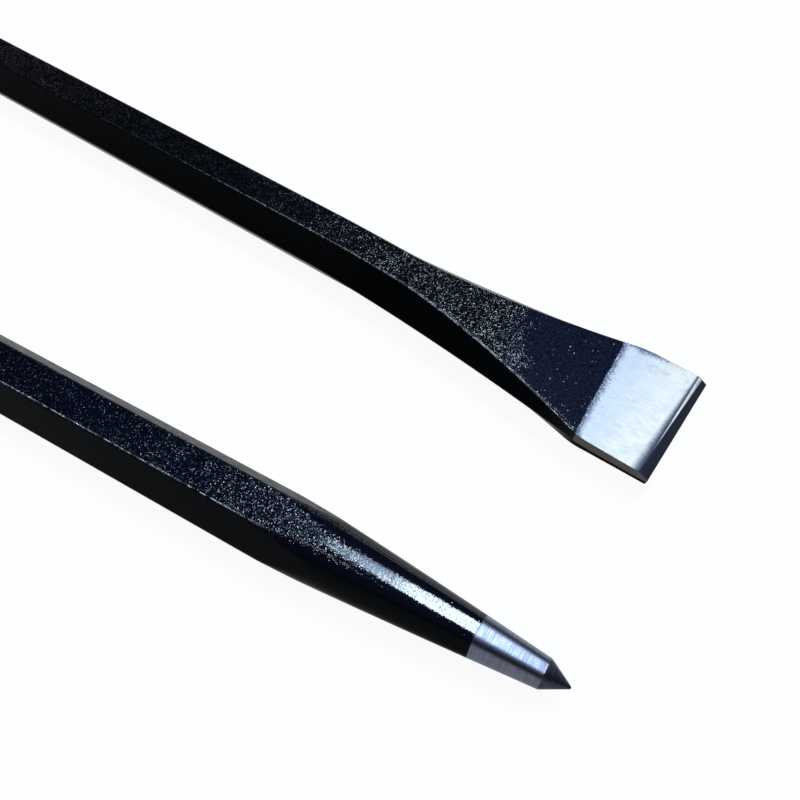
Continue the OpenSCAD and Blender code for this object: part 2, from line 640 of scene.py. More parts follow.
class Sketch:
    """A material's node tree, drawn step by step."""

    def __init__(self, name: str) -> None:
        """Starts an empty material.

        Args:
            name: Name of the material.
        """
        self.material = bpy.data.materials.new(name)
        self.material.use_nodes = True
        self.tree = self.material.node_tree
        self.tree.nodes.clear()

    def node(self, kind: str, feeds: Feeds, **settings: str) -> bpy.types.Node:
        """Adds a node.

        Args:
            kind: The node's type, after the words ShaderNode.
            feeds: What goes into each input, by its name or number.
            settings: The node's own settings, such as its operation.

        Returns:
            The node.
        """
        node = self.tree.nodes.new(f"ShaderNode{kind}")
        for name, setting in settings.items():
            setattr(node, name, setting)
        for key, value in feeds.items():
            self.feed(node.inputs[key], value)
        return node

    def feed(self, target: Socket, value: Feed) -> None:
        """Links a socket to an input, or sets a plain value on it.

        Args:
            target: The input.
            value: A socket, a number, a colour or a place.
        """
        if isinstance(value, Socket):
            self.tree.links.new(value, target)
        elif target.type == "RGBA":
            target.default_value = (*value, 1.0)
        else:
            target.default_value = value

    def math(self, operation: str, *values: Feed) -> Socket:
        """One kind of arithmetic on values, from the first to the last."""
        return reduce(lambda first, second: self.node(
            "Math", {0: first, 1: second}, operation=operation).outputs[0], values)

    def times(self, *values: Feed) -> Socket:
        """The values multiplied."""
        return self.math("MULTIPLY", *values)

    def plus(self, *values: Feed) -> Socket:
        """The values added up."""
        return self.math("ADD", *values)

    def minus(self, first: Feed, second: Feed) -> Socket:
        """The first value less the second."""
        return self.math("SUBTRACT", first, second)

    def most(self, *values: Feed) -> Socket:
        """The greatest of the values."""
        return self.math("MAXIMUM", *values)

    def spread(self, noise: Socket, width: float) -> Socket:
        """A noise from 0 to 1, spread over a width about zero."""
        return self.times(self.minus(noise, HALF), width)

    def ramped(self, value: Socket, span: Span, start: float, end: float, ease: str = "LINEAR") -> Socket:
        """A ramp from start, at the span's first value, to end, at its second, held level past both."""
        return self.node("MapRange", {"Value": value, "From Min": span[0], "From Max": span[1],
                                      "To Min": start, "To Max": end}, interpolation_type=ease).outputs[0]

    def graded(self, value: Socket, span: Span, start: float = 0.0, end: float = 1.0) -> Socket:
        """A smooth step from start, at the span's first value, to end, at its second."""
        return self.ramped(value, span, start, end, "SMOOTHSTEP")

    def blend(self, share: Socket, first: Feed, second: Feed) -> Socket:
        """A colour between two, by a share."""
        return self.node("Mix", {0: share, 6: first, 7: second}, data_type="RGBA").outputs[2]

    def blend_value(self, share: Socket, first: Feed, second: Feed) -> Socket:
        """A value between two, by a share."""
        return self.node("Mix", {0: share, 2: first, 3: second}).outputs[0]

    def vector(self, operation: str, feeds: Feeds) -> Socket:
        """One step of arithmetic on vectors."""
        return self.node("VectorMath", feeds, operation=operation).outputs[0]

    def split(self, vector: Socket) -> List[Socket]:
        """The three parts of a vector."""
        return list(self.node("SeparateXYZ", {"Vector": vector}).outputs)

    def show(self, surface: bpy.types.Node) -> bpy.types.Material:
        """The finished material, with this shader as its surface."""
        self.node("OutputMaterial", {"Surface": surface.outputs[0]})
        return self.material


@dataclass(frozen=True)
class Grain:
    """A soft noise: its waves a metre, its detail, and its stretch where it runs one way.

    A stretched noise is also shifted to the bar's own part of the pattern. Where the grain has a
    span, that part of the noise is graded from the first of its shares to the second.
    """

    waves: float
    detail: float = 2.0
    rough: float = 0.5
    stretch: Optional[Place] = None
    span: Optional[Span] = None
    shares: Span = (0.0, 1.0)


class BarSketch(Sketch):
    """A sketch on one bar, with places along, across and up from the middle of its chisel edge."""

    def __init__(self, name: str, bar: BarPlace) -> None:
        """Starts an empty material and finds its places on the bar.

        Args:
            name: Name of the material, which follows the bar's name.
            bar: The bar.
        """
        super().__init__(f"{bar.name}_{name}")
        self.bar = bar
        object_place = self.node("TexCoord", {}).outputs["Object"]
        self.at = self.node("Mapping", {"Vector": object_place, "Location": bar.origin,
                                        "Rotation": (0, 0, bar.heading)},
                            vector_type="TEXTURE").outputs["Vector"]
        self.along, self.across, self.up = self.split(self.at)
        self.to_rubbed_and_highlight_side = self.times(self.across, bar.rubbed_and_highlight_side)
        self.normal = self.node("NewGeometry", {}).outputs["Normal"]
        self.rise = self.split(self.normal)[2]
        self.level = self.math("ABSOLUTE", self.rise, 0.0)

    def shifted(self, stretch: Place) -> Socket:
        """Places scaled along each axis, and shifted to the bar's own part of a pattern."""
        shift = (self.bar.pattern_shift,) * 3
        return self.vector("MULTIPLY_ADD", {0: self.at, 1: stretch, 2: shift})

    def noise(self, grain: Grain) -> Socket:
        """Soft noise, from 0 to 1 unless it is graded.

        Args:
            grain: The kind of noise.

        Returns:
            The noise.
        """
        at = self.shifted(grain.stretch) if grain.stretch else self.at
        noise = self.node("TexNoise", {"Vector": at, "Scale": grain.waves, "Detail": grain.detail,
                                       "Roughness": grain.rough}).outputs[0]
        return self.graded(noise, grain.span, *grain.shares) if grain.span else noise

    def towards_tip(self, span: Span, start: float = 0.0, end: float = 1.0) -> Socket:
        """A smooth step along the bar between two distances from its tip, the farther one first."""
        far, near = (self.bar.length - distance for distance in span)
        return self.graded(self.along, (far, near), start, end)

    def bumped(self, height: Socket, lean: Optional[Socket]) -> Socket:
        """The normal of the surface with its fine height.

        Args:
            height: Height in metres.
            lean: Vector to add to the surface's own normal first, if any.

        Returns:
            The normal.
        """
        feeds = {"Height": height, "Strength": 1.0, "Distance": 1.0}
        if lean is not None:
            feeds["Normal"] = self.vector("NORMALIZE", {0: self.vector("ADD", {0: self.normal, 1: lean})})
        return self.node("Bump", feeds).outputs[0]


@dataclass(frozen=True)
class Layers:
    """What a finish gives the shader."""

    colour: Socket
    metal: Feed
    roughness: Socket
    height: Socket
    lean: Optional[Socket] = None
    gloss: Feed = 0.0


@dataclass(frozen=True)
class Enamel:
    """Black enamel with a navy cast over a pebbled forged skin.

    Spans in millimetres are places from the chisel's edge, places from the tip with the farther one
    first, or distances from the line that they name. Other spans are of how far a surface faces up.
    """

    colour: Colour = (0.0013, 0.0018, 0.0042)
    deep_colour: Colour = (0.0007, 0.0008, 0.0016)
    cast_grain: Grain = Grain(70.0, 3.0)
    point_colour: Colour = (0.0010, 0.0020, 0.0082)
    point_cast: Span = (420 * MM, 150 * MM)
    pressed_colour: Colour = (0.0009, 0.0024, 0.0112)
    mottle_colour: Colour = (0.0115, 0.0160, 0.0345)
    mottle_grain: Grain = Grain(1500.0, span=(0.40, 0.68))
    mottle_edge: Span = (-6 * MM, 14 * MM)
    # Painted by which way the surface faces: the navy cast stays on upward faces, and the sides and
    # underside get plain black, standing in for the bluish light that falls on the upper flats.
    side_colour: Colour = (0.0018, 0.0019, 0.0021)
    side_span: Span = (0.60, 0.95)
    roughness: Grain = Grain(300.0, span=(0.3, 0.7), shares=(0.255, 0.345))
    ridge_foot: Span = (0.84, 0.90)
    ridge_top: Span = (0.975, 0.99)
    ridge_end: Span = (122 * MM, 108 * MM)
    ridge_calm: float = 0.8
    # Bare metal along the ridges on the side towards the camera: partly wear, partly a painted highlight.
    wear_and_highlight_colour: Colour = (0.26, 0.28, 0.31)
    wear_and_highlight_roughness: float = 0.25
    wear_and_highlight_grain: Grain = Grain(420.0, span=(0.38, 0.62))
    faint_wear_and_highlight: float = 0.06
    chisel_wear_and_highlight: float = 0.7
    chisel_wear_and_highlight_span: Span = (150 * MM, 270 * MM)
    point_wear_and_highlight_span: Span = (800 * MM, 500 * MM)
    pressed_place: float = 67.5 * MM
    pressed_skew: float = -0.42
    pressed_share: float = 0.07
    pressed_edge: Span = (-5 * MM, 6 * MM)
    wander_grain: Grain = Grain(200.0, 3.0)
    wander: float = 18 * MM
    face_places: Span = (30 * MM, 70 * MM)
    face_halves: Span = (25.5 * MM, 15.1 * MM)
    rim_span: Span = (0.6 * MM, 3.0 * MM)
    rim_share: float = 0.8
    calm_span: Span = (122 * MM, 66 * MM)
    point_calm: float = 0.10
    pebble_grain: Grain = Grain(1550.0, 1.0, 0.5, (1.0, 0.8, 0.8))
    pebble_height: float = 0.05 * MM
    patch_grain: Grain = Grain(110.0, span=(0.3, 0.7), shares=(0.85, 1.15))
    swell_grain: Grain = Grain(70.0, 1.0)
    swell_height: float = 0.10 * MM
    facet_scale: float = 3600.0
    facet_stretch: Place = (1.0, 1.0, 1.0)
    facet_lean: float = 0.95
    stray_share: float = 0.030
    side_lean: float = 0.15
    side_lean_span: Span = (0.55, 0.85)
    chisel_coat: float = 0.52
    shank_coat: float = 0.24
    shank_coat_span: Span = (160 * MM, 260 * MM)
    top_coat: float = 0.44
    top_coat_span: Span = (600 * MM, 250 * MM)
    point_coat: float = 1.0
    point_coat_span: Span = (145 * MM, 80 * MM)
    side_coat: float = 0.02
    side_coat_span: Span = (0.60, 0.85)
    gloss_spread: float = 1.7
    gloss_spread_span: Span = (105 * MM, 60 * MM)
    point_gloss_spread: float = 0.15
    gloss_grain: Grain = Grain(140.0, span=(0.35, 0.65), shares=(-0.4, 0.4))
    gloss_patch_span: Span = (150 * MM, 95 * MM)
    point_gloss_patch: float = 0.2

    def layers(self, sketch: BarSketch) -> Layers:
        """Draws the enamel.

        Args:
            sketch: The material in hand.

        Returns:
            All that the enamel gives the shader.
        """
        ridge = self.ridge(sketch)
        wear_highlight_share = self.wear_and_highlight(sketch, ridge)
        beyond = self.past_pressed(sketch)
        share = self.pebbled(sketch, beyond, ridge)
        cells = sketch.node("TexVoronoi", {"Vector": sketch.shifted(self.facet_stretch),
                                           "Scale": self.facet_scale}).outputs
        chance = sketch.node("TexWhiteNoise", {"Vector": cells["Position"]}).outputs
        return Layers(sketch.blend(wear_highlight_share, self.tint(sketch, beyond), self.wear_and_highlight_colour), wear_highlight_share,
                      sketch.blend_value(wear_highlight_share, sketch.noise(self.roughness), self.wear_and_highlight_roughness),
                      self.height(sketch, share),
                      self.lean(sketch, share, cells["Color"], chance["Value"]),
                      self.gloss(sketch, sketch.split(chance["Color"])[1]))

    def ridge(self, sketch: BarSketch) -> Socket:
        """Finds the line of worn metal and painted highlight along the ridges on the side towards the
        camera, none on the round taper.

        Args:
            sketch: The material in hand.

        Returns:
            The line's share, from 0 to 1.
        """
        foot = sketch.graded(sketch.level, self.ridge_foot)
        top = sketch.graded(sketch.level, self.ridge_top, 1.0, 0.0)
        hexagon = sketch.towards_tip(self.ridge_end, 1.0, 0.0)
        return sketch.times(foot, top, hexagon, sketch.math("GREATER_THAN", sketch.to_rubbed_and_highlight_side, 0.0))

    def wear_and_highlight(self, sketch: BarSketch, ridge: Socket) -> Socket:
        """Breaks the line of worn metal and painted highlight up, and makes it fuller towards both ends.

        Args:
            sketch: The material in hand.
            ridge: The line's share.

        Returns:
            Share of bare metal, which also paints the ridge's highlight.
        """
        chisel = sketch.graded(sketch.along, self.chisel_wear_and_highlight_span, self.chisel_wear_and_highlight, self.faint_wear_and_highlight)
        point = sketch.towards_tip(self.point_wear_and_highlight_span, self.faint_wear_and_highlight, 1.0)
        return sketch.times(ridge, sketch.noise(self.wear_and_highlight_grain), sketch.most(chisel, point))

    def past_pressed(self, sketch: BarSketch) -> Socket:
        """Finds the ragged end of the smoother zone that was pressed behind the bit.

        Args:
            sketch: The material in hand.

        Returns:
            Distance past that end in metres, less than zero in the zone.
        """
        edge = sketch.plus(self.pressed_place, sketch.times(sketch.across, self.pressed_skew))
        wander = sketch.spread(sketch.noise(self.wander_grain), self.wander)
        return sketch.minus(sketch.plus(sketch.along, wander), edge)

    def pebbled(self, sketch: BarSketch, beyond: Socket, ridge: Socket) -> Socket:
        """Says how rough the skin is: calmer in the pressed zone, on the ridge and towards the tip.

        Args:
            sketch: The material in hand.
            beyond: Distance past the pressed zone, whose rim stays rough at the rubbed side.
            ridge: Share of the burnished line.

        Returns:
            Share of the full pebbling.
        """
        pressed = sketch.graded(beyond, self.pressed_edge, self.pressed_share, 1.0)
        half_face = sketch.ramped(sketch.along, self.face_places, *self.face_halves)
        from_rim = sketch.minus(half_face, sketch.to_rubbed_and_highlight_side)
        rim = sketch.graded(from_rim, self.rim_span, self.rim_share, 0.0)
        calm = sketch.towards_tip(self.calm_span, 1.0, self.point_calm)
        smooth_ridge = sketch.minus(1.0, sketch.times(ridge, self.ridge_calm))
        return sketch.times(sketch.most(pressed, rim), calm, smooth_ridge)

    def tint(self, sketch: BarSketch, beyond: Socket) -> Socket:
        """Colours the enamel: bluer at the point, mottled in the pressed zone, black at the sides.

        Args:
            sketch: The material in hand.
            beyond: Distance past the pressed zone.

        Returns:
            The colour.
        """
        colour = sketch.blend(sketch.noise(self.cast_grain), self.deep_colour, self.colour)
        colour = sketch.blend(sketch.towards_tip(self.point_cast), colour, self.point_colour)
        mottle = sketch.noise(self.mottle_grain)
        mottled = sketch.blend(mottle, self.pressed_colour, self.mottle_colour)
        colour = sketch.blend(sketch.graded(beyond, self.mottle_edge), mottled, colour)
        # Painted light by facing: navy on upward faces, plain black on the sides and underside.
        return sketch.blend(sketch.graded(sketch.rise, self.side_span), self.side_colour, colour)

    def height(self, sketch: BarSketch, share: Socket) -> Socket:
        """Raises the pebbles, in patches, on a slow swell.

        Args:
            sketch: The material in hand.
            share: Share of the full pebbling.

        Returns:
            Height in metres.
        """
        pebble = sketch.times(sketch.noise(self.pebble_grain), sketch.noise(self.patch_grain), share,
                              self.pebble_height)
        return sketch.plus(pebble, sketch.times(sketch.noise(self.swell_grain), self.swell_height))

    def lean(self, sketch: BarSketch, share: Socket, colour: Socket, chance: Socket) -> Socket:
        """Leans each small facet of the pebbled skin.

        Args:
            sketch: The material in hand.
            share: Share of the full lean. A few stray facets keep it all.
            colour: The facet's own random colour, taken as a direction.
            chance: The facet's own random value.

        Returns:
            A vector to add to the surface's normal.
        """
        stray = sketch.math("LESS_THAN", chance, self.stray_share)
        size = sketch.times(sketch.split(colour)[2], self.facet_lean)
        level = sketch.graded(sketch.rise, self.side_lean_span, self.side_lean, 1.0)
        way = sketch.vector("SUBTRACT", {0: colour, 1: (HALF, HALF, HALF)})
        reach = sketch.times(sketch.most(share, stray), size, level)
        return sketch.vector("SCALE", {0: way, "Scale": reach})

    def gloss(self, sketch: BarSketch, chance: Socket) -> Socket:
        """Lays the clear gloss: fuller on the upper flats, where the paint settled, and at the point.

        Args:
            sketch: The material in hand.
            chance: A random value for each facet.

        Returns:
            Weight of the gloss.
        """
        top = sketch.graded(sketch.along, self.shank_coat_span, self.chisel_coat, self.shank_coat)
        top = sketch.blend_value(sketch.towards_tip(self.top_coat_span), top, self.top_coat)
        top = sketch.blend_value(sketch.towards_tip(self.point_coat_span), top, self.point_coat)
        uneven = sketch.towards_tip(self.gloss_spread_span, 1.0, self.point_gloss_spread)
        facet = sketch.plus(1.0, sketch.times(sketch.spread(chance, self.gloss_spread), uneven))
        fading = sketch.towards_tip(self.gloss_patch_span, 1.0, self.point_gloss_patch)
        patch = sketch.plus(1.0, sketch.times(sketch.noise(self.gloss_grain), fading))
        top = sketch.math("MINIMUM", 1.0, sketch.times(top, facet, patch))
        return sketch.blend_value(sketch.graded(sketch.rise, self.side_coat_span), self.side_coat, top)


@dataclass(frozen=True)
class GroundSteel:
    """Bare steel ground bright, with fine lines along the stroke.

    Spans in millimetres run from the chisel's edge, from its brow or roll, or from the paint line.
    """

    face_colour: Colour = (0.83, 0.80, 0.735)
    paint_side_colour: Colour = (0.67, 0.695, 0.74)
    paint_side_span: Span = (10 * MM, 32 * MM)
    shade_colour: Colour = (0.44, 0.47, 0.53)
    shade_span: Span = (0.35, 0.75)
    shade_share: float = 0.3
    smudge_grain: Grain = Grain(170.0, 3.0, span=(0.45, 0.8))
    smudge_places: Span = (-10 * MM, -24 * MM)
    smudge_shares: Span = (0.25, 1.05)
    stroke_grain: Grain = Grain(4200.0, 3.0, 0.6, (0.05, 1.0, 1.0))
    stroke_height: float = 0.004 * MM
    ring_grain: Grain = Grain(1500.0, 3.0, 0.6, (1.0, 0.08, 0.08))
    ring_height: float = 0.0015 * MM
    fleck_grain: Grain = Grain(2100.0, 2.0, 0.6, (0.6, 1.0, 1.0))
    skim_colour: Colour = (0.16, 0.19, 0.27)
    skim_span: Span = (0.2 * MM, 3.0 * MM)
    skim_fleck: float = 6.0 * MM
    skim_places: Span = (8 * MM, 27 * MM)
    skim_widths: Span = (2.4 * MM, -1.0 * MM)
    burr_colour: Colour = (0.90, 0.92, 0.95)
    burr_span: Span = (0.58, 0.66)
    burr_places: Span = (0.4 * MM, 1.0 * MM)
    half_width: float = 25.5 * MM
    edge_skew: float = 0.018
    # Painted shade: the dark band behind the rolled brow, where the face rolls away from the light.
    roll_shade_colour: Colour = (0.075, 0.09, 0.15)
    roll_places: Span = (3.65 * MM, 3.75 * MM)
    roll_widths: Span = (1.2 * MM, 4.5 * MM)
    roll_start: Span = (-0.25 * MM, 0.1 * MM)
    roll_fade: Span = (0.1, 1.0)
    roll_ragged: float = 1.2
    # Painted dark reflection: the front bevel is bright steel, coloured near black as if mirroring dark
    # surroundings.
    bevel_dark_reflection_colour: Colour = (0.036, 0.040, 0.062)
    bevel_end: Span = (-0.3 * MM, 0.0)
    brow_places: Span = (2.35 * MM, 4.30 * MM)
    brow_start: Span = (-0.2 * MM, 0.0)
    brow_end: Span = (-0.1 * MM, 0.2 * MM)
    # Darker side walls, chosen by which way the surface faces: partly their own rougher sheared finish,
    # partly a painted dark reflection of the floor.
    wall_finish_and_shade_colour: Colour = (0.125, 0.113, 0.105)
    wall_span: Span = (0.35, 0.6)
    # Painted shade: a near-black line along the lower edge of the bit's walls, which also takes the metal
    # off there.
    foot_shade_colour: Colour = (0.004, 0.004, 0.004)
    foot_shade_heights: Span = (-1.3 * MM, -0.8 * MM)
    foot_shade_span: Span = (0.75, 0.95)
    collar_colour: Colour = (0.136, 0.147, 0.196)
    collar_shade_colour: Colour = (0.106, 0.115, 0.154)
    collar_span: Span = (0.3, 0.7)
    face_roughness: float = 0.70
    brow_roughness: float = 0.45
    collar_roughness: float = 0.37
    rough_span: Span = (0.2, 0.8)
    rough_shares: Span = (0.88, 1.12)

    def layers(self, sketch: BarSketch, past_paint: Socket) -> Layers:
        """Draws the ground steel.

        Args:
            sketch: The material in hand.
            past_paint: Distance from the chisel's paint line.

        Returns:
            The steel's colour, metal, roughness and height.
        """
        point = sketch.math("GREATER_THAN", sketch.along, sketch.bar.length / 2)
        lines = sketch.blend_value(point, sketch.noise(self.stroke_grain), sketch.noise(self.ring_grain))
        from_edge = sketch.plus(sketch.along, sketch.times(sketch.across, self.edge_skew))
        brow, roll, width = (
            sketch.ramped(sketch.across, (-self.half_width, self.half_width), *ends)
            for ends in (self.brow_places, self.roll_places, self.roll_widths))
        past_brow, past_roll = sketch.minus(from_edge, brow), sketch.minus(from_edge, roll)
        face = self.face(sketch, lines, past_paint)
        # Painted shade behind the rolled brow.
        face = sketch.blend(self.rolled(sketch, past_roll, width, lines), face, self.roll_shade_colour)
        # The front bevel gets a painted dark reflection.
        bevel = sketch.graded(past_brow, self.bevel_end, 1.0, 0.0)
        face = sketch.blend(bevel, face, self.bevel_dark_reflection_colour)
        # Side walls: own finish and painted dark reflection.
        wall = sketch.graded(sketch.level, self.wall_span, 1.0, 0.0)
        face = sketch.blend(wall, face, self.wall_finish_and_shade_colour)
        # Painted shade along the lower edge of the walls, taken off the metal too.
        foot = sketch.times(sketch.graded(sketch.up, self.foot_shade_heights, 1.0, 0.0),
                            sketch.graded(sketch.level, self.foot_shade_span, 1.0, 0.0))
        face = sketch.blend(foot, face, self.foot_shade_colour)
        shade = sketch.graded(lines, self.collar_span)
        collar = sketch.blend(shade, self.collar_colour, self.collar_shade_colour)
        rough = sketch.blend_value(point, self.face_roughness, self.collar_roughness)
        strip = sketch.times(sketch.graded(past_brow, self.brow_start),
                             sketch.graded(past_roll, self.brow_end, 1.0, 0.0))
        rough = sketch.blend_value(strip, rough, self.brow_roughness)
        roughness = sketch.times(rough, sketch.graded(lines, self.rough_span, *self.rough_shares))
        depth = sketch.blend_value(point, self.stroke_height, self.ring_height)
        return Layers(sketch.blend(point, face, collar), sketch.minus(1.0, foot), roughness,
                      sketch.times(lines, depth))

    def face(self, sketch: BarSketch, lines: Socket, past_paint: Socket) -> Socket:
        """Colours the chisel's face: strokes, smudges, and enamel skimmed thin along two sides.

        Args:
            sketch: The material in hand.
            lines: The grinder's strokes.
            past_paint: Distance from the chisel's paint line.

        Returns:
            The colour.
        """
        smudge = sketch.times(sketch.noise(self.smudge_grain),
                              sketch.graded(sketch.across, self.smudge_places, *self.smudge_shares))
        shade = sketch.most(sketch.graded(lines, self.shade_span, 0.0, self.shade_share), smudge)
        pale = sketch.graded(sketch.along, self.paint_side_span)
        pale = sketch.blend(pale, self.face_colour, self.paint_side_colour)
        face = sketch.blend(shade, pale, self.shade_colour)
        flecks = sketch.noise(self.fleck_grain)
        far_side = sketch.plus(sketch.across, self.half_width,
                               sketch.ramped(sketch.along, self.skim_places, *self.skim_widths))
        skimmed = sketch.plus(sketch.math("MINIMUM", past_paint, far_side),
                              sketch.spread(flecks, self.skim_fleck))
        face = sketch.blend(sketch.graded(skimmed, self.skim_span), self.skim_colour, face)
        burr = sketch.times(sketch.graded(flecks, self.burr_span),
                            sketch.graded(past_paint, self.burr_places, 1.0, 0.0))
        return sketch.blend(burr, face, self.burr_colour)

    def rolled(self, sketch: BarSketch, past_roll: Socket, width: Socket, lines: Socket) -> Socket:
        """Share of the painted shade behind the rolled brow: a dark ragged band, which widens across the
        face.
        """
        into = sketch.plus(sketch.math("DIVIDE", past_roll, width), sketch.spread(lines, self.roll_ragged))
        return sketch.times(sketch.graded(into, self.roll_fade, 1.0, 0.0),
                            sketch.graded(past_roll, self.roll_start))


@dataclass(frozen=True)
class TipSteel:
    """Bare steel, darker, ground round the point at a steeper angle."""

    colour: Colour = (0.055, 0.057, 0.083)
    shade_colour: Colour = (0.029, 0.029, 0.045)
    shade_span: Span = (0.3, 0.7)
    roughness: Span = (0.357, 0.504)
    rough_span: Span = (0.2, 0.8)
    ring_grain: Grain = Grain(2600.0, 3.0, 0.6, (1.0, 0.12, 0.12))
    ring_height: float = 0.004 * MM

    def layers(self, sketch: BarSketch) -> Layers:
        """Draws the tip's steel.

        Args:
            sketch: The material in hand.

        Returns:
            The steel's colour, metal, roughness and height.
        """
        rings = sketch.noise(self.ring_grain)
        colour = sketch.blend(sketch.graded(rings, self.shade_span), self.shade_colour, self.colour)
        roughness = sketch.graded(rings, self.rough_span, *self.roughness)
        return Layers(colour, 1.0, roughness, sketch.times(rings, self.ring_height))


@dataclass(frozen=True)
class BarFinish:
    """The materials of one bar: enamel that meets ground steel at both ends, and the tip."""

    bar: BarPlace
    enamel: Enamel = Enamel()
    ground: GroundSteel = GroundSteel()
    tip: TipSteel = TipSteel()
    chisel_line: float = 32.7 * MM
    chisel_skew: float = -0.10
    chisel_fade: Span = (-0.3 * MM, 0.3 * MM)
    collar_line: float = 33 * MM
    collar_fade: Span = (-0.1 * MM, 0.1 * MM)
    collar_ragged: float = 0.25
    comb_grain: Grain = Grain(2600.0, 3.0, 0.65, (0.5, 1.0, 1.0))
    comb_reach: float = 1.8 * MM
    drift_grain: Grain = Grain(220.0)
    drift_reach: float = 1.4 * MM
    ior: float = 1.5
    specular_level: float = 0.02
    specular_tint: Colour = (0.80, 0.90, 1.0)
    coat_roughness: float = 0.05

    def finished(self, sketch: BarSketch, layers: Layers) -> bpy.types.Material:
        """Gives a material its one shader.

        Args:
            sketch: The material in hand.
            layers: What the shader shows.

        Returns:
            The finished material.
        """
        normal = sketch.bumped(layers.height, layers.lean)
        return sketch.show(sketch.node("BsdfPrincipled", {
            "Base Color": layers.colour, "Metallic": layers.metal, "Roughness": layers.roughness,
            "Normal": normal, "Coat Normal": normal, "Coat Weight": layers.gloss,
            "Coat Roughness": self.coat_roughness, "Coat IOR": self.ior, "IOR": self.ior,
            "Specular IOR Level": self.specular_level, "Specular Tint": self.specular_tint}))

    def past_paint(self, sketch: BarSketch) -> Tuple[Socket, Socket]:
        """Distances into the bare steel at the chisel and at the point, ragged by the grinder.

        Args:
            sketch: The material in hand.

        Returns:
            The two distances in metres, less than zero under enamel.
        """
        ragged = sketch.plus(sketch.spread(sketch.noise(self.comb_grain), self.comb_reach),
                             sketch.spread(sketch.noise(self.drift_grain), self.drift_reach))
        line = sketch.plus(sketch.times(sketch.across, self.chisel_skew), self.chisel_line)
        chisel = sketch.minus(sketch.plus(line, ragged), sketch.along)
        point = sketch.minus(sketch.along, self.bar.length - self.collar_line)
        return chisel, sketch.plus(point, sketch.times(ragged, self.collar_ragged))

    def bar_material(self) -> bpy.types.Material:
        """Enamel with the ground ends bare, for all but the tip.

        Returns:
            The material.
        """
        sketch = BarSketch("enamel_and_ground_steel", self.bar)
        chisel, point = self.past_paint(sketch)
        bare = sketch.most(sketch.graded(chisel, self.chisel_fade), sketch.graded(point, self.collar_fade))
        painted = sketch.minus(1.0, bare)
        enamel, ground = self.enamel.layers(sketch), self.ground.layers(sketch, chisel)
        return self.finished(sketch, Layers(
            sketch.blend(bare, enamel.colour, ground.colour),
            sketch.blend_value(bare, enamel.metal, ground.metal),
            sketch.blend_value(bare, enamel.roughness, ground.roughness),
            sketch.blend_value(bare, enamel.height, ground.height),
            sketch.vector("SCALE", {0: enamel.lean, "Scale": painted}),
            sketch.times(painted, enamel.gloss)))

    def tip_material(self) -> bpy.types.Material:
        """The tip's darker steel."""
        sketch = BarSketch("tip_steel", self.bar)
        return self.finished(sketch, self.tip.layers(sketch))


@dataclass
class Bar:
    """One whole bar: copies of the six zones, laid in place and dressed."""

    place: BarPlace
    patterns: Dict[Zone, bpy.types.Object]
    pieces: Dict[Zone, bpy.types.Object] = field(default_factory=dict)

    def lay(self) -> None:
        """Copies each zone to its place, hides the CAD node that it stands for, and hangs it on the body
        it rides on.
        """
        for zone, pattern in self.patterns.items():
            node = f"{self.place.name}_{zone.value}"
            piece = copied(pattern, f"{node}_skin")
            piece.matrix_world = self.place.matrix
            bpy.ops.object.transform_apply(location=True, rotation=True, scale=True)
            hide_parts(node)
            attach(piece, self.place.body)
            self.pieces[zone] = piece

    def dress(self) -> None:
        """Gives each piece its finish."""
        finish = BarFinish(self.place)
        whole, tip = finish.bar_material(), finish.tip_material()
        for zone, piece in self.pieces.items():
            piece.data.materials.clear()
            piece.data.materials.append(tip if zone is Zone.POINT_NIB else whole)


@dataclass(frozen=True)
class Pair:
    """How the two bars lie: the two ends in view, and how far the bars close up towards them."""

    toe: float = math.radians(2.9)
    tip: Place = (753.79 * MM, -44.449 * MM, 12.5 * MM)
    edge: Place = (744.29 * MM, 61.551 * MM, 12.5 * MM)
    pattern_shifts: Span = (3.7, 9.2)

    def places(self, length: float) -> Tuple[BarPlace, BarPlace]:
        """Finds where both bars lie.

        Args:
            length: Length of a bar.

        Returns:
            The place of the front bar, from its tip, and that of the rear bar, from its edge.
        """
        run = Vector((math.cos(self.toe), math.sin(self.toe), 0))
        start = tuple(Vector(self.tip) - run * length)
        front_shift, rear_shift = self.pattern_shifts
        return (BarPlace("front", start, self.toe, length, front_shift, -1.0),
                BarPlace("rear", self.edge, math.pi - self.toe, length, rear_shift, 1.0))


@dataclass(frozen=True)
class SoftBox:
    """A soft lamp: its direction from the bars, its two sides and how bright its face is."""

    name: str
    way: Place
    sizes: Span
    radiance: float
    colour: Colour

    def hang(self, target: Vector, distance: float) -> None:
        """Hangs the lamp so that it faces the bars.

        Args:
            target: The point that it faces.
            distance: Its distance from that point.
        """
        way = Vector(self.way).normalized()
        at = target + way * distance
        bpy.ops.object.light_add(type="AREA", location=at)
        lamp = bpy.context.active_object
        lamp.name = f"soft_box_{self.name}"
        lamp.data.shape = "RECTANGLE"
        lamp.data.size, lamp.data.size_y = self.sizes
        lamp.data.color = self.colour
        lamp.data.energy = self.radiance * math.pi * self.sizes[0] * self.sizes[1]
        up = way.cross(Vector((1, 0, 0))).normalized()
        side = up.cross(way).normalized()
        lamp.matrix_world = Matrix.Translation(at) @ Matrix((side, up, way)).transposed().to_4x4()


